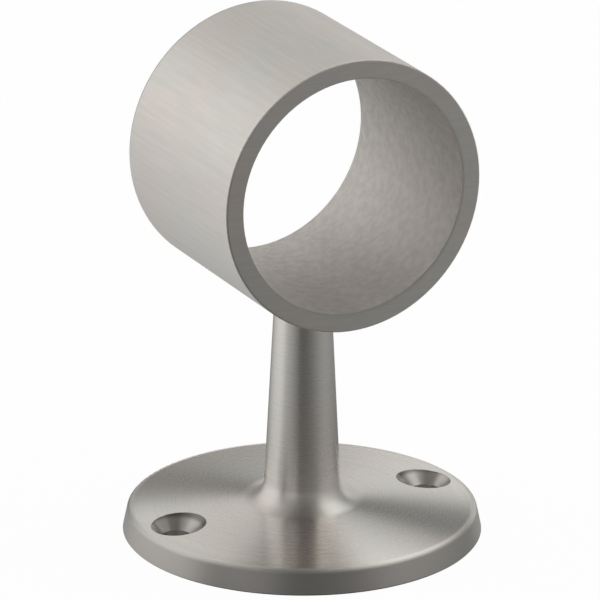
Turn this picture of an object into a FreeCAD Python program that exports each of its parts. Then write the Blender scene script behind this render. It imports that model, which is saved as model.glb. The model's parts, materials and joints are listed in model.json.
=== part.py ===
# Railing center post, cast in one piece: a round domed base, a slim tapered stem and a ring for a rail tube.
# Millimetres. The origin is the centre of the base's underside, +Z runs up the stem, the rail runs along Y
# and the two screw holes lie along X.

import math
import os

import FreeCAD
import Part

# Rail ring
rail_diameter = 38.1
rail_clearance = 0.25
ring_wall = 3.0
ring_length = 35.4
rail_axis_height = 62.0
ring_edge_break = 0.25
bore_edge_break = 0.25

# Stem
neck_diameter = 9.2
foot_diameter = 12.6
neck_fillet = 2.0
foot_fillet = 3.4

# Base
base_diameter = 58.2
base_edge_thickness = 3.95
base_crown = 1.65
base_draft_angle = 12.0
base_edge_round = 0.75
base_underside_break = 0.25

# Screw holes
screw_edge_distance = 6.5
screw_hole_diameter = 4.8
countersink_diameter = 8.8
countersink_angle = 90.0
countersink_edge_break = 0.15

# Radii that follow from the sizes above
bore_radius = rail_diameter / 2 + rail_clearance
ring_radius = bore_radius + ring_wall
neck_radius = neck_diameter / 2
foot_radius = foot_diameter / 2
base_radius = base_diameter / 2
base_top_radius = base_radius - base_edge_thickness * math.tan(math.radians(base_draft_angle))
base_height = base_edge_thickness + base_crown
crown_radius = (base_top_radius ** 2 + base_crown ** 2) / (2 * base_crown)
screw_spacing = base_diameter - 2 * screw_edge_distance
screw_hole_radius = screw_hole_diameter / 2
countersink_radius = countersink_diameter / 2

# Directions and reference points
up = FreeCAD.Vector(0, 0, 1)
rail_direction = FreeCAD.Vector(0, 1, 0)
origin = FreeCAD.Vector(0, 0, 0)
rail_centre = FreeCAD.Vector(0, 0, rail_axis_height)
profile_plane = Part.Plane(origin, FreeCAD.Vector(1, 0, 0))


def profile_point(radius, height):
    """Point of a turned profile, drawn in the plane of the rail, so that seams stay clear of the holes."""
    return FreeCAD.Vector(0, radius, height)


def crown_point(radius):
    """Point of the base's domed top at a distance from the axis."""
    return profile_point(radius, base_height - crown_radius + math.sqrt(crown_radius ** 2 - radius ** 2))


def blend(edge, following, corner, radius):
    """Two edges of a turned profile that meet in a corner, with an arc tangent to both put between them."""
    rounding = Part.ChFi2d.FilletAPI(edge, following, profile_plane)
    rounding.perform(radius)
    arc, edge, following = rounding.result(corner)
    return edge, arc, following


def circles(shape, radius, direction):
    """Full circular edges of one radius whose axis lies along a direction."""
    found = []
    for edge in shape.Edges:
        curve = edge.Curve
        if not isinstance(curve, Part.Circle):
            continue
        if abs(curve.Radius - radius) < 1e-4 and abs(abs(curve.Axis.dot(direction)) - 1) < 1e-6:
            found.append(edge)
    return found


def meetings(shape, surface, other):
    """Edges along which a face on one kind of surface meets a face on another kind."""
    found = []
    for edge in shape.Edges:
        kinds = {type(face.Surface) for face in shape.ancestorsOfType(edge, Part.Face)}
        if kinds == {surface, other}:
            found.append(edge)
    return found


# Base and stem as one turned blank. The stem tapers evenly from the base to the ring, and runs on into the
# ring as far as the lowest line of the bore.
neck_height = rail_axis_height - ring_radius
base_centre = profile_point(0, 0)
base_bottom = profile_point(base_radius, 0)
base_top = crown_point(base_top_radius)
stem_foot = crown_point(foot_radius)
stem_taper = (foot_radius - neck_radius) / (neck_height - stem_foot.z)
stem_end = profile_point(neck_radius - stem_taper * ring_wall, neck_height + ring_wall)
stem_top = profile_point(0, neck_height + ring_wall)
crown_middle = crown_point((base_top_radius + foot_radius) / 2)
base_side = Part.makeLine(base_bottom, base_top)
crown = Part.Arc(base_top, crown_middle, stem_foot).toShape()
stem_side = Part.makeLine(stem_foot, stem_end)
base_side, base_edge, crown = blend(base_side, crown, base_top, base_edge_round)
crown, foot, stem_side = blend(crown, stem_side, stem_foot, foot_fillet)
profile = Part.Wire([
    Part.makeLine(base_centre, base_bottom),
    base_side,
    base_edge,
    crown,
    foot,
    stem_side,
    Part.makeLine(stem_end, stem_top),
    Part.makeLine(stem_top, base_centre),
])
post = Part.Face(profile).revolve(origin, up, 360)
post = post.makeChamfer(base_underside_break, circles(post, base_radius, up))

# Ring blank, joined to the stem with a small casting fillet round the neck
ring_end = rail_centre - rail_direction * (ring_length / 2)
ring = Part.makeCylinder(ring_radius, ring_length, ring_end, rail_direction)
post = post.fuse(ring).removeSplitter()
neck_edges = []
for edge in post.Edges:
    box = edge.BoundBox
    within_neck = max(abs(box.XMin), abs(box.XMax), abs(box.YMin), abs(box.YMax)) < neck_radius + 0.01
    if within_neck and box.ZMin > neck_height - 0.01 and not isinstance(edge.Curve, Part.Circle):
        neck_edges.append(edge)
post = post.makeFillet(neck_fillet, neck_edges)

# Bore for the rail. The ring's outer rims and the bore's mouths are chamfered.
bore = Part.makeCylinder(bore_radius, ring_length, ring_end, rail_direction)
post = post.cut(bore)
post = post.makeChamfer(ring_edge_break, circles(post, ring_radius, rail_direction))
post = post.makeChamfer(bore_edge_break, circles(post, bore_radius, rail_direction))

# Two countersunk screw holes through the base, either side of the stem. Each countersink has its full width
# at the height of the dome over the hole's centre, and runs out through the dome above that.
hole_surface = crown_point(screw_spacing / 2).z
cone_spread = math.tan(math.radians(countersink_angle / 2))
cone_depth = (countersink_radius - screw_hole_radius) / cone_spread
cone_height = cone_depth + base_height - hole_surface
cone_radius = screw_hole_radius + cone_height * cone_spread
cutter = Part.Face(Part.makePolygon([
    profile_point(0, 0),
    profile_point(screw_hole_radius, 0),
    profile_point(screw_hole_radius, hole_surface - cone_depth),
    profile_point(cone_radius, base_height),
    profile_point(0, base_height),
    profile_point(0, 0),
])).revolve(origin, up, 360)
for side in (-1, 1):
    post = post.cut(cutter.translated(FreeCAD.Vector(side * screw_spacing / 2, 0, 0)))

# Countersink mouths, where the cones meet the dome
post = post.makeChamfer(countersink_edge_break, meetings(post, Part.Cone, Part.Sphere))

os.makedirs("parts", exist_ok=True)
post.exportStep("parts/center_post.step")
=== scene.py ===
"""Railing center post: the cast and brushed steel finish, a plain studio and the camera."""

import json
import math
from types import SimpleNamespace

import bpy
from mathutils import Matrix, Vector

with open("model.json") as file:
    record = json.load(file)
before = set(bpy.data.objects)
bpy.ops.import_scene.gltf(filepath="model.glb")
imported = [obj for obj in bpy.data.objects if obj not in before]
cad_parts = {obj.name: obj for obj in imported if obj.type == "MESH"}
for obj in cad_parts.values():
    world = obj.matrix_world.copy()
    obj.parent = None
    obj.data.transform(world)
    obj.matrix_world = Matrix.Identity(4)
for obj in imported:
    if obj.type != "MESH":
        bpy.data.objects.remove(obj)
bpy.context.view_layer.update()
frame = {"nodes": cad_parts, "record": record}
post = frame["nodes"]["center_post"]
mounts = {mount["name"]: mount for mount in frame["record"]["mounts"]}

# Sizes of the post in millimetres, and the draft angle of its base. Bore and screw holes come from the frame,
# and the rest repeat the part's own sizes.
MILLIMETRES = 1000.0
RAIL_HEIGHT = mounts["rail_bore"]["pos_m"][2] * MILLIMETRES
BORE_RADIUS = mounts["rail_bore"]["dims"]["r_mm"]
BORE_BREAK = 0.25
RING_WALL = 3.0
RING_LENGTH = 35.4
NECK_RADIUS = 4.6
NECK_FILLET = 2.0
FOOT_RADIUS = 6.3
FOOT_FILLET = 3.4
BASE_RADIUS = 29.1
BASE_EDGE_THICKNESS = 3.95
BASE_EDGE_ROUND = 0.75
BASE_CROWN = 1.65
BASE_DRAFT = math.radians(12.0)
UNDERSIDE_BREAK = 0.25
HOLE_RADIUS = mounts["screw_holes"]["dims"]["hole_r_mm"]
HOLE_OFFSET = mounts["screw_holes"]["dims"]["spacing_x_mm"] / 2
COUNTERSINK_RADIUS = 4.4

# Margins in millimetres: below the neck's fillet, past a countersink's broken edge on the sloping dome, and
# for how far the mesh may lie off the exact surface
NECK_MARGIN = 0.1
MOUTH_MARGIN = 0.5
MESH_SLACK = 0.02

# Places that follow from these sizes
RING_RADIUS = BORE_RADIUS + RING_WALL
RING_HALF = RING_LENGTH / 2
NECK_HEIGHT = RAIL_HEIGHT - RING_RADIUS
BASE_TOP_RADIUS = BASE_RADIUS - BASE_EDGE_THICKNESS * math.tan(BASE_DRAFT)
DOME_RADIUS = (BASE_TOP_RADIUS ** 2 + BASE_CROWN ** 2) / (2 * BASE_CROWN)
DOME_CENTRE = BASE_EDGE_THICKNESS + BASE_CROWN - DOME_RADIUS
FOOT_HEIGHT = DOME_CENTRE + math.sqrt(DOME_RADIUS ** 2 - FOOT_RADIUS ** 2)
STEM_TAPER = (FOOT_RADIUS - NECK_RADIUS) / (NECK_HEIGHT - FOOT_HEIGHT)
STEM_LEAN = math.atan(STEM_TAPER)


def round_centre(side_out, side_up, lean, offset):
    """Centre of a round that touches the dome and a straight side: its distance from the axis and its height.

    The side runs through a given point, and its outward normal rises by the lean. The offset is the round's
    radius, counted as negative where the centre lies within the metal."""
    across = side_out * math.cos(lean) + (side_up - DOME_CENTRE) * math.sin(lean) + offset
    along = math.sqrt((DOME_RADIUS + offset) ** 2 - across ** 2)
    out = across * math.cos(lean) - along * math.sin(lean)
    up = across * math.sin(lean) + along * math.cos(lean) + DOME_CENTRE
    return out, up


# The foot's fillet and the base's rounded edge: their centres, and where they meet their neighbours
FOOT_OUT, FOOT_UP = round_centre(FOOT_RADIUS, FOOT_HEIGHT, STEM_LEAN, FOOT_FILLET)
FOOT_REACH = FOOT_OUT * DOME_RADIUS / (DOME_RADIUS + FOOT_FILLET)
STEM_START = FOOT_UP - FOOT_FILLET * math.sin(STEM_LEAN)
STEM_END = NECK_HEIGHT - NECK_FILLET - NECK_MARGIN
EDGE_OUT, EDGE_UP = round_centre(BASE_RADIUS, 0.0, BASE_DRAFT, -BASE_EDGE_ROUND)
DOME_REACH = EDGE_OUT * DOME_RADIUS / (DOME_RADIUS - BASE_EDGE_ROUND)
EDGE_START = EDGE_UP + BASE_EDGE_ROUND * math.sin(BASE_DRAFT)
MOUTH_REACH = COUNTERSINK_RADIUS + MOUTH_MARGIN

# Where one finish gives way to the next: soft steps from a first place, in millimetres, to a second
RING_HEIGHTS = (NECK_HEIGHT - NECK_FILLET - 0.5, NECK_HEIGHT - NECK_FILLET)
WALL_MIDDLE = (BORE_RADIUS + RING_WALL / 2 - 0.1, BORE_RADIUS + RING_WALL / 2 + 0.1)
BORE_EDGE = (BORE_RADIUS + 0.03, BORE_RADIUS + 0.01)
RING_EDGE = (RING_RADIUS + 0.9, RING_RADIUS + 0.1)
FOOT_EDGE = (FOOT_REACH + 1.0, FOOT_REACH - 1.0)
FOOT_TOP = (STEM_START + 1.0, STEM_START - 2.0)
DULL_EDGE = (DOME_REACH - 0.6, DOME_REACH + 0.1)
SIDE_EDGE = (DOME_REACH, DOME_REACH + 0.7)
MOUTH_EDGE = (MOUTH_REACH + 0.02, MOUTH_REACH - 0.02)
MOUTH_DEPTH = (0.02, 0.05)
# Band near each countersink's mouth where shade is painted
MOUTH_SHADE_BAND = (MOUTH_REACH - 1.2, MOUTH_REACH - 0.5)

# Width over which the shading turns round the ring's outer rims, in millimetres
RIM_SOFTNESS = 0.45

# Colours of the steel and of its painted shade, how much brighter the finely turned dome is, and how strongly
# the brush lines show
WARM_STEEL = (0.635, 0.60, 0.57, 1.0)
COOL_STEEL = (0.61, 0.607, 0.58, 1.0)
LINE_STEEL = (0.44, 0.425, 0.40, 1.0)
# Darker steel for the base's side, and painted shade in the screw holes
DARKER_SIDE_AND_HOLE_SHADE = (0.47, 0.455, 0.435, 1.0)
# Painted shade near each countersink's mouth
MOUTH_PAINTED_SHADE = (0.20, 0.19, 0.18, 1.0)
DARK_SKIN = (0.60, 0.575, 0.55, 1.0)
PALE_SKIN = (0.72, 0.69, 0.66, 1.0)
DOME_GAIN = 1.09
TURNED_LINES, RING_LINES = 0.18, 0.25

# Levels of noise between which one tone turns into the next
CLOUD_LEVELS = (0.35, 0.65)
LINE_LEVELS = (0.3, 0.7)
CAST_LEVELS = (0.3, 0.7)

# Streaks of the brushing: cells of noise to the millimetre along x, y and the third measure of each surface
TURNED_STREAKS = (0.02, 0.02, 1.6)
HOLE_STREAKS = (0.3, 0.3, 3.0)
RING_STREAKS = (1.8, 0.07, 1.8)
END_STREAKS = (0.2, 1.0, 2.5)

# Scratches: their directions on the ring and on its ends, how much they stretch a reflection, and the turn
# that lays the stretch across them
ALONG_RAIL = (0.0, 1.0, 0.0)
ACROSS_END = (1.0, 0.0, 0.25)
STRETCH = 0.89
QUARTER_TURN = 0.25

# Roughness of each surface, what streaks and casting add to it, and how far the foot takes on its own
TURNED_ROUGHNESS, RING_ROUGHNESS, STREAK_ROUGHNESS = 0.24, 0.40, 0.06
FOOT_ROUGHNESS, FOOT_SHARE = 0.48, 0.9
EDGE_ROUGHNESS = 0.48
HOLE_ROUGHNESS = 0.45
END_ROUGHNESS = 0.5
BORE_ROUGHNESS, CAST_ROUGHNESS = 0.55, 0.1

# Depth of brush lines, and of the lumps and pits of the casting, in millimetres
TURNED_DEPTH, RING_DEPTH = 0.0008, 0.0012
CAST_DEPTH, PIT_DEPTH = 0.02, 0.008

# Viewing angle of the photograph, in degrees
AZIMUTH, ELEVATION, ROLL = -26.947, 19.968, 0.225

# The picture in metres: the height of its middle, how far right of that the post stands, and its width
PICTURE_HEIGHT, PICTURE_SHIFT, PICTURE_WIDTH = 0.039179, 0.000469, 0.096015
CAMERA_DISTANCE = 1.0
SENSOR_WIDTH = 36.0

# Levels of light from each side, as the camera faces the post
SKY_LEVELS = {"front": 0.40, "right": 0.60, "back": 0.20, "left": 0.30}
SKY_TOP = 0.10
SKY_COLOUR = (1.0, 0.985, 0.96, 1.0)
FLOOR_LEVELS = {"front": 0.13, "right": 0.48, "back": 0.28, "left": 1.00}

# Soft panels: their ranges round the post and of rise, with the half width of the soft borders, in degrees
LEFT_PANEL = {
    "turns": (216.0, 290.0), "turn_border": 11.0,
    "rises": (-10.0, 75.0), "rise_border": 4.0,
    "strength": 1.08,
}
OVERHEAD_PANEL = {
    "turns": (60.0, 180.0), "turn_border": 4.0,
    "rises": (36.0, 85.0), "rise_border": 3.0,
    "strength": 1.45,
}
LOW_BACK_PANEL = {
    "turns": (140.0, 180.0), "turn_border": 2.0,
    "rises": (0.0, 19.5), "rise_border": 1.5,
    "strength": 0.98,
}
HIGH_BACK_PANEL = {
    "turns": (183.0, 203.0), "turn_border": 3.0,
    "rises": (19.5, 60.0), "rise_border": 1.5,
    "strength": 0.78,
}
FRONT_PANEL = {
    "turns": (310.0, 345.0), "turn_border": 8.0,
    "rises": (10.0, 35.0), "rise_border": 6.0,
    "strength": 0.85,
}
PANELS = (LEFT_PANEL, OVERHEAD_PANEL, LOW_BACK_PANEL, HIGH_BACK_PANEL, FRONT_PANEL)

# The floor: its half width in metres, its colour, and the share of it that the camera sees as plain white
FLOOR_REACH = 3.0
FLOOR_COLOUR = (0.8, 0.8, 0.8, 1.0)
WHITE = (1.0, 1.0, 1.0, 1.0)
WHITE_SHARE = 0.97

# Distances from the stem's axis, in metres: where the floor's reflection darkens towards the post as a
# painted shadow of the post, with the level it falls to there, and the floor under the base, which isn't
# white, so that the screw holes stay dark
PAINTED_SHADOW_REACH, PAINTED_SHADOW_LEVEL = (0.02, 0.12), 0.58
UNDER_BASE = (BASE_RADIUS - 0.6) / MILLIMETRES

# Directions seen from the camera: to its right, away from it along the floor, and up
TO_RIGHT = Vector((math.cos(math.radians(AZIMUTH)), math.sin(math.radians(AZIMUTH)), 0.0))
UPWARD = Vector((0.0, 0.0, 1.0))
AWAY = UPWARD.cross(TO_RIGHT)


class Nodes:
    """A node tree. Each method adds a node and gives its result, from values and other nodes' results."""

    def __init__(self, owner):
        owner.use_nodes = True
        self.tree = owner.node_tree
        self.tree.nodes.clear()

    def add(self, kind, inputs=None, **settings):
        """The node itself, with its settings, and its inputs set to values or linked to results."""
        made = self.tree.nodes.new(kind)
        for name, value in settings.items():
            setattr(made, name, value)
        for name, value in (inputs or {}).items():
            if isinstance(value, bpy.types.NodeSocket):
                self.tree.links.new(value, made.inputs[name])
            else:
                made.inputs[name].default_value = value
        return made

    def calc(self, operation, *values):
        """Arithmetic on numbers."""
        return self.add("ShaderNodeMath", dict(enumerate(values)), operation=operation).outputs[0]

    def product(self, result, *others):
        for other in others:
            result = self.calc("MULTIPLY", result, other)
        return result

    def opposite(self, share):
        """1 where a share is 0, and 0 where it is 1."""
        return self.calc("SUBTRACT", 1.0, share)

    def step(self, value, low, high):
        """0 up to low and 1 from high on, with a soft step between. low may be the larger one."""
        inputs = {"Value": value, "From Min": low, "From Max": high}
        return self.add("ShaderNodeMapRange", inputs, interpolation_type="SMOOTHSTEP").outputs[0]

    def ramp(self, value, low, high, top):
        """0 up to low and top from high on, with an even rise between."""
        inputs = {"Value": value, "From Min": low, "From Max": high, "To Max": top}
        return self.add("ShaderNodeMapRange", inputs).outputs[0]

    def band(self, value, limits, border):
        """1 between two limits and 0 beyond them, with soft borders."""
        low, high = limits
        rising = self.step(value, low - border, low + border)
        return self.product(rising, self.step(value, high + border, high - border))

    def vector(self, x, y, z):
        return self.add("ShaderNodeCombineXYZ", {"X": x, "Y": y, "Z": z}).outputs[0]

    def parts(self, vector):
        """The x, y and z of a vector."""
        return self.add("ShaderNodeSeparateXYZ", {0: vector}).outputs

    def vectors(self, operation, *values):
        """Arithmetic on vectors, part by part."""
        return self.add("ShaderNodeVectorMath", dict(enumerate(values)), operation=operation).outputs[0]

    def scaled(self, vector, factor):
        return self.add("ShaderNodeVectorMath", {0: vector, "Scale": factor}, operation="SCALE").outputs[0]

    def unit(self, vector):
        return self.vectors("NORMALIZE", vector)

    def length(self, vector):
        return self.add("ShaderNodeVectorMath", {0: vector}, operation="LENGTH").outputs["Value"]

    def dot(self, vector, other):
        made = self.add("ShaderNodeVectorMath", {0: vector, 1: other}, operation="DOT_PRODUCT")
        return made.outputs["Value"]

    def mix(self, share, first, second, kind="FLOAT"):
        """first where the share is 0 and second where it is 1, for numbers, vectors or colours."""
        socket, result = {"FLOAT": (2, 0), "VECTOR": (4, 1), "RGBA": (6, 2)}[kind]
        inputs = {0: share, socket: first, socket + 1: second}
        return self.add("ShaderNodeMix", inputs, data_type=kind, clamp_factor=True).outputs[result]

    def noise(self, place, scale, detail, roughness):
        inputs = {"Vector": place, "Scale": scale, "Detail": detail, "Roughness": roughness}
        return self.add("ShaderNodeTexNoise", inputs, noise_dimensions="3D").outputs["Fac"]


def measured(nodes):
    """Where a point of the post lies, in millimetres: its place, and distances from axes, holes and dome."""
    at = SimpleNamespace()
    at.place = nodes.scaled(nodes.add("ShaderNodeTexCoord").outputs["Object"], MILLIMETRES)
    at.x, at.y, at.z = nodes.parts(at.place)
    at.along = nodes.calc("ABSOLUTE", at.y)
    at.up = nodes.calc("SUBTRACT", at.z, RAIL_HEIGHT)
    at.from_stem = nodes.length(nodes.vector(at.x, at.y, 0.0))
    at.from_rail = nodes.length(nodes.vector(at.x, at.up, 0.0))
    nearer_hole = nodes.product(nodes.calc("SIGN", at.x), HOLE_OFFSET)
    at.hole_x = nodes.calc("SUBTRACT", at.x, nearer_hole)
    at.from_hole = nodes.length(nodes.vector(at.hole_x, at.y, 0.0))
    at.dome_up = nodes.calc("SUBTRACT", at.z, DOME_CENTRE)
    from_dome_centre = nodes.length(nodes.vector(at.from_stem, at.dome_up, 0.0))
    at.dome_depth = nodes.calc("SUBTRACT", DOME_RADIUS, from_dome_centre)
    return at


def surfaces(nodes, at):
    """Which surface a point lies on, as shares from 0 to 1."""
    on = SimpleNamespace()

    # The ring: its outer half, bore, ends and the brushed outside
    on.high = nodes.step(at.z, *RING_HEIGHTS)
    on.outside = nodes.step(at.from_rail, *WALL_MIDDLE)
    on.bore = nodes.product(on.high, nodes.step(at.from_rail, *BORE_EDGE))
    end_start = nodes.mix(on.outside, RING_HALF - BORE_BREAK, RING_HALF - 2 * MESH_SLACK)
    on.end = nodes.product(on.high, nodes.calc("GREATER_THAN", at.along, end_start))
    on.ring = nodes.product(on.high, nodes.step(at.from_rail, *RING_EDGE))

    # The foot of the stem, the base's dome with all beyond it, its edge and its side
    low = nodes.opposite(on.high)
    near_stem = nodes.step(at.from_stem, *FOOT_EDGE)
    on.foot = nodes.product(near_stem, nodes.step(at.z, *FOOT_TOP))
    on.dome = nodes.product(low, nodes.opposite(near_stem))
    on.edge = nodes.product(low, nodes.step(at.from_stem, *DULL_EDGE))
    on.side = nodes.product(low, nodes.step(at.from_stem, *SIDE_EDGE))

    # The screw holes, and the part of each countersink that is near its mouth, which gets painted shade
    on.hole = nodes.product(nodes.step(at.from_hole, *MOUTH_EDGE), nodes.step(at.dome_depth, *MOUTH_DEPTH))
    on.mouth = nodes.product(on.hole, nodes.step(at.from_hole, *MOUTH_SHADE_BAND))
    return on


def ring_normal(nodes, at, on):
    """Exact normal of the ring: away from the rail's axis or towards it, and along the rail at the ends."""
    right_angle = math.pi / 2
    outward = nodes.calc("MULTIPLY_ADD", on.outside, 2.0, -1.0)
    rim_lean = nodes.ramp(at.along, RING_HALF - RIM_SOFTNESS, RING_HALF, right_angle)
    lean = nodes.mix(on.outside, nodes.product(on.end, right_angle), rim_lean)
    share = nodes.calc("DIVIDE", nodes.product(outward, nodes.calc("COSINE", lean)), at.from_rail)
    to_end = nodes.product(nodes.calc("SIGN", at.y), nodes.calc("SINE", lean))
    return nodes.vector(nodes.product(at.x, share), to_end, nodes.product(at.up, share))


def turned_normal(nodes, at):
    """Exact normal of base and stem, from the rim inwards and up: side, edge, dome, fillet, stem."""
    side = (math.cos(BASE_DRAFT), math.sin(BASE_DRAFT), 0.0)
    edge = nodes.vectors("SUBTRACT", nodes.vector(at.from_stem, at.z, 0.0), (EDGE_OUT, EDGE_UP, 0.0))
    dome = nodes.vector(at.from_stem, at.dome_up, 0.0)
    fillet = nodes.vectors("SUBTRACT", (FOOT_OUT, FOOT_UP, 0.0), nodes.vector(at.from_stem, at.z, 0.0))
    stem = (1.0, STEM_TAPER, 0.0)
    sloped = nodes.mix(nodes.calc("GREATER_THAN", at.z, EDGE_START), side, edge, "VECTOR")
    sloped = nodes.mix(nodes.calc("LESS_THAN", at.from_stem, DOME_REACH), sloped, dome, "VECTOR")
    sloped = nodes.mix(nodes.calc("LESS_THAN", at.from_stem, FOOT_REACH), sloped, fillet, "VECTOR")
    sloped = nodes.mix(nodes.calc("GREATER_THAN", at.z, STEM_START), sloped, stem, "VECTOR")
    out, up, _ = nodes.parts(sloped)
    share = nodes.calc("DIVIDE", out, at.from_stem)
    return nodes.unit(nodes.vector(nodes.product(at.x, share), nodes.product(at.y, share), up))


def countersink_normal(nodes, at):
    """Exact normal of the countersinks, which open at 45 degrees."""
    share = nodes.calc("DIVIDE", -1.0, at.from_hole)
    return nodes.unit(nodes.vector(nodes.product(at.hole_x, share), nodes.product(at.y, share), 1.0))


def exact_normal(nodes, at, on):
    """Normal without facets. The neck's fillet, the underside and the plain holes keep the mesh's own."""
    above_neck = nodes.calc("GREATER_THAN", at.z, NECK_HEIGHT - 2 * MESH_SLACK)
    on_tube = nodes.product(above_neck, nodes.calc("LESS_THAN", at.from_rail, RING_RADIUS + MESH_SLACK))
    above_underside = nodes.calc("GREATER_THAN", at.z, UNDERSIDE_BREAK)
    below_neck = nodes.calc("LESS_THAN", at.z, STEM_END)
    on_turned = nodes.product(above_underside, below_neck, nodes.opposite(on.hole))
    on_cone = nodes.product(on.hole, nodes.calc("GREATER_THAN", at.from_hole, HOLE_RADIUS + MESH_SLACK))
    normals = (
        (on_tube, ring_normal(nodes, at, on)),
        (on_turned, turned_normal(nodes, at)),
        (on_cone, countersink_normal(nodes, at)),
    )
    to_world = {"vector_type": "NORMAL", "convert_from": "OBJECT", "convert_to": "WORLD"}
    normal = nodes.add("ShaderNodeNewGeometry").outputs["Normal"]
    for share, exact in normals:
        exact = nodes.add("ShaderNodeVectorTransform", {0: exact}, **to_world).outputs[0]
        normal = nodes.mix(share, normal, exact, "VECTOR")
    return normal


def scratch_direction(nodes, at, on):
    """Way of the scratches: round stem and holes, along the ring, across its ends, all ways in the bore."""
    backward = nodes.product(at.y, -1.0)
    around_stem = nodes.vector(backward, at.x, 0.0)
    around_hole = nodes.vector(backward, at.hole_x, 0.0)
    random = nodes.add("ShaderNodeTexWhiteNoise", {"Vector": at.place}, noise_dimensions="3D")
    all_ways = nodes.vectors("SUBTRACT", random.outputs["Color"], (0.5, 0.5, 0.5))
    way = nodes.mix(on.hole, around_stem, around_hole, "VECTOR")
    way = nodes.mix(on.ring, way, ALONG_RAIL, "VECTOR")
    way = nodes.mix(on.end, way, ACROSS_END, "VECTOR")
    way = nodes.mix(on.bore, way, all_ways, "VECTOR")
    return nodes.unit(way)


def brush_streaks(nodes, at, on):
    """Streaks that run along the scratches, long one way and fine across."""
    profile = nodes.calc("SUBTRACT", at.from_stem, at.z)
    turned = nodes.vectors("MULTIPLY", nodes.vector(at.x, at.y, profile), TURNED_STREAKS)
    hole = nodes.vectors("MULTIPLY", nodes.vector(at.hole_x, at.y, at.z), HOLE_STREAKS)
    ring = nodes.vectors("MULTIPLY", nodes.vector(at.x, at.y, at.up), RING_STREAKS)
    end = nodes.vectors("MULTIPLY", at.place, END_STREAKS)
    place = nodes.mix(on.hole, turned, hole, "VECTOR")
    place = nodes.mix(on.ring, place, ring, "VECTOR")
    place = nodes.mix(on.end, place, end, "VECTOR")
    return nodes.noise(place, scale=1.0, detail=5.0, roughness=0.7)


def steel_colour(nodes, at, on, streaks, cast):
    """A slightly warm, uneven steel with fine dark lines, darker on the base's side, painted shade in the
    holes and near the countersinks' mouths, mottled in the bore.
    """
    cloud = nodes.noise(at.place, scale=0.075, detail=3.0, roughness=0.5)
    colour = nodes.mix(nodes.step(cloud, *CLOUD_LEVELS), WARM_STEEL, COOL_STEEL, "RGBA")
    line_strength = nodes.mix(on.high, TURNED_LINES, RING_LINES)
    lines = nodes.product(nodes.step(streaks, *LINE_LEVELS), line_strength)
    colour = nodes.mix(lines, colour, LINE_STEEL, "RGBA")
    colour = nodes.mix(on.dome, colour, nodes.scaled(colour, DOME_GAIN), "RGBA")
    # Darker on the base's side, and painted shade in the screw holes
    colour = nodes.mix(nodes.calc("MAXIMUM", on.side, on.hole), colour, DARKER_SIDE_AND_HOLE_SHADE, "RGBA")
    # Painted shade near each countersink's mouth
    colour = nodes.mix(on.mouth, colour, MOUTH_PAINTED_SHADE, "RGBA")
    skin = nodes.mix(nodes.step(cast, *CAST_LEVELS), DARK_SKIN, PALE_SKIN, "RGBA")
    return nodes.mix(on.bore, colour, skin, "RGBA")


def steel_roughness(nodes, on, streaks, cast):
    brushed = nodes.mix(on.ring, TURNED_ROUGHNESS, RING_ROUGHNESS)
    rough = nodes.calc("MULTIPLY_ADD", streaks, STREAK_ROUGHNESS, brushed)
    rough = nodes.mix(nodes.product(on.foot, FOOT_SHARE), rough, FOOT_ROUGHNESS)
    rough = nodes.mix(on.edge, rough, EDGE_ROUGHNESS)
    rough = nodes.mix(on.hole, rough, HOLE_ROUGHNESS)
    rough = nodes.mix(on.end, rough, END_ROUGHNESS)
    return nodes.mix(on.bore, rough, nodes.calc("MULTIPLY_ADD", cast, CAST_ROUGHNESS, BORE_ROUGHNESS))


def steel_relief(nodes, at, on, streaks, cast):
    """Height of the brush lines, and of the uneven skin of the casting in the bore, in millimetres."""
    pits = nodes.noise(at.place, scale=3.2, detail=2.0, roughness=0.5)
    brushed = nodes.product(streaks, nodes.mix(on.high, TURNED_DEPTH, RING_DEPTH))
    skin = nodes.calc("MULTIPLY_ADD", cast, CAST_DEPTH, nodes.product(pits, PIT_DEPTH))
    return nodes.mix(on.bore, brushed, skin)


def steel():
    """One casting with a finish for each surface: turned base, brushed ring, sanded ends, raw bore."""
    material = bpy.data.materials.new("brushed_steel")
    nodes = Nodes(material)
    at = measured(nodes)
    on = surfaces(nodes, at)
    streaks = brush_streaks(nodes, at, on)
    cast = nodes.noise(at.place, scale=0.75, detail=5.0, roughness=0.6)
    bump = nodes.add("ShaderNodeBump", {
        "Height": steel_relief(nodes, at, on, streaks, cast),
        "Strength": 1.0,
        "Distance": 1.0 / MILLIMETRES,
        "Normal": exact_normal(nodes, at, on),
    })
    shader = nodes.add("ShaderNodeBsdfPrincipled", {
        "Base Color": steel_colour(nodes, at, on, streaks, cast),
        "Metallic": 1.0,
        "Roughness": steel_roughness(nodes, on, streaks, cast),
        "Anisotropic": STRETCH,
        "Anisotropic Rotation": QUARTER_TURN,
        "Tangent": scratch_direction(nodes, at, on),
        "Normal": bump.outputs[0],
    })
    nodes.add("ShaderNodeOutputMaterial", {"Surface": shader.outputs[0]})
    return material


def four_sides(nodes, direction, front, right, back, left):
    """A level that turns evenly from side to side."""
    flat_direction = nodes.unit(nodes.vectors("MULTIPLY", direction, (1.0, 1.0, 0.0)))
    total = 0.0
    for axis, level in ((-AWAY, front), (TO_RIGHT, right), (AWAY, back), (-TO_RIGHT, left)):
        share = nodes.calc("MAXIMUM", nodes.dot(flat_direction, axis), 0.0)
        total = nodes.calc("MULTIPLY_ADD", nodes.calc("POWER", share, 2.0), level, total)
    return total


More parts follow.
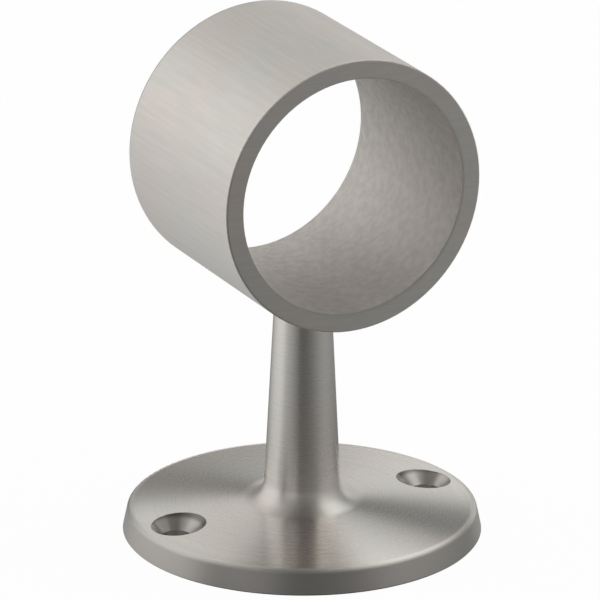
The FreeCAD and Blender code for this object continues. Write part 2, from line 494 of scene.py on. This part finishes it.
def floor_material():
    """Pale floor that shows white and keeps its shadow. The metal sees it at a level for each side, darker
    near the post as a painted shadow.
    """
    material = bpy.data.materials.new("pale_floor")
    nodes = Nodes(material)
    path = nodes.add("ShaderNodeLightPath").outputs
    reflected = nodes.calc("MAXIMUM", path["Is Glossy Ray"], path["Is Transmission Ray"])
    place = nodes.add("ShaderNodeNewGeometry").outputs["Position"]
    distance = nodes.length(place)
    # Painted shadow of the post in what the metal sees of the floor
    painted_shadow = nodes.mix(nodes.step(distance, *PAINTED_SHADOW_REACH), PAINTED_SHADOW_LEVEL, 1.0)
    reflected_level = nodes.product(four_sides(nodes, place, **FLOOR_LEVELS), painted_shadow)
    level = nodes.mix(reflected, 1.0, reflected_level)
    share = nodes.mix(reflected, nodes.product(path["Is Camera Ray"], WHITE_SHARE), 1.0)
    share = nodes.product(share, nodes.calc("GREATER_THAN", distance, UNDER_BASE))
    matt = nodes.add("ShaderNodeBsdfDiffuse", {"Color": FLOOR_COLOUR}).outputs[0]
    white = nodes.add("ShaderNodeEmission", {"Color": WHITE, "Strength": level}).outputs[0]
    both = nodes.add("ShaderNodeMixShader", {0: share, 1: matt, 2: white}).outputs[0]
    nodes.add("ShaderNodeOutputMaterial", {"Surface": both})
    return material


def add_floor():
    corners = []
    for x, y in ((-1, -1), (1, -1), (1, 1), (-1, 1)):
        corners.append((x * FLOOR_REACH, y * FLOOR_REACH, 0.0))
    mesh = bpy.data.meshes.new("floor")
    mesh.from_pydata(corners, [], [range(len(corners))])
    mesh.materials.append(floor_material())
    floor = bpy.data.objects.new("floor", mesh)
    bpy.context.scene.collection.objects.link(floor)


def panel_light(nodes, turn, rise, turns, turn_border, rises, rise_border, strength):
    """Light of a soft panel, by the direction that is looked in."""
    across = nodes.band(turn, turns, turn_border)
    upright = nodes.band(rise, rises, rise_border)
    return nodes.product(across, upright, strength)


def add_light():
    """Soft light from the world: a plain sky with a level for each side, and panels.

    Turns are degrees round the post as the camera faces it: 0 is towards the camera, 90 right, 180 away."""
    world = bpy.data.worlds.new("studio")
    bpy.context.scene.world = world
    nodes = Nodes(world)
    per_radian = math.degrees(1.0)
    direction = nodes.add("ShaderNodeTexCoord").outputs["Generated"]
    right = nodes.dot(direction, TO_RIGHT)
    toward = nodes.dot(direction, -AWAY)
    height = nodes.parts(direction)[2]
    turn = nodes.product(nodes.calc("ARCTAN2", right, toward), per_radian)
    turn = nodes.calc("FLOORED_MODULO", turn, 360.0)
    rise = nodes.product(nodes.calc("ARCSINE", height), per_radian)
    overhead = nodes.calc("POWER", nodes.calc("MAXIMUM", height, 0.0), 2.0)
    level = nodes.mix(overhead, four_sides(nodes, direction, **SKY_LEVELS), SKY_TOP)
    for panel in PANELS:
        level = nodes.calc("ADD", level, panel_light(nodes, turn, rise, **panel))
    sky = nodes.add("ShaderNodeBackground", {"Color": SKY_COLOUR, "Strength": level}).outputs[0]
    nodes.add("ShaderNodeOutputWorld", {"Surface": sky})


def add_camera():
    """Camera at the photograph's viewing angle, with a long lens."""
    rise = math.radians(ELEVATION)
    roll = math.radians(ROLL)
    back = UPWARD * math.sin(rise) - AWAY * math.cos(rise)
    above = back.cross(TO_RIGHT)
    screen_right = TO_RIGHT * math.cos(roll) + above * math.sin(roll)
    screen_up = above * math.cos(roll) - TO_RIGHT * math.sin(roll)
    settings = bpy.data.cameras.new("camera")
    settings.sensor_width = SENSOR_WIDTH
    settings.lens = SENSOR_WIDTH * CAMERA_DISTANCE / PICTURE_WIDTH
    settings.clip_start = 0.01
    settings.clip_end = 20.0
    camera = bpy.data.objects.new("camera", settings)
    camera.matrix_world = Matrix((screen_right, screen_up, back)).transposed().to_4x4()
    camera.location = UPWARD * PICTURE_HEIGHT - screen_right * PICTURE_SHIFT + back * CAMERA_DISTANCE
    bpy.context.scene.collection.objects.link(camera)
    bpy.context.scene.camera = camera


for slot in post.material_slots:
    slot.material = steel()
add_floor()
add_light()
add_camera()
bpy.context.scene.view_settings.view_transform = "Standard"
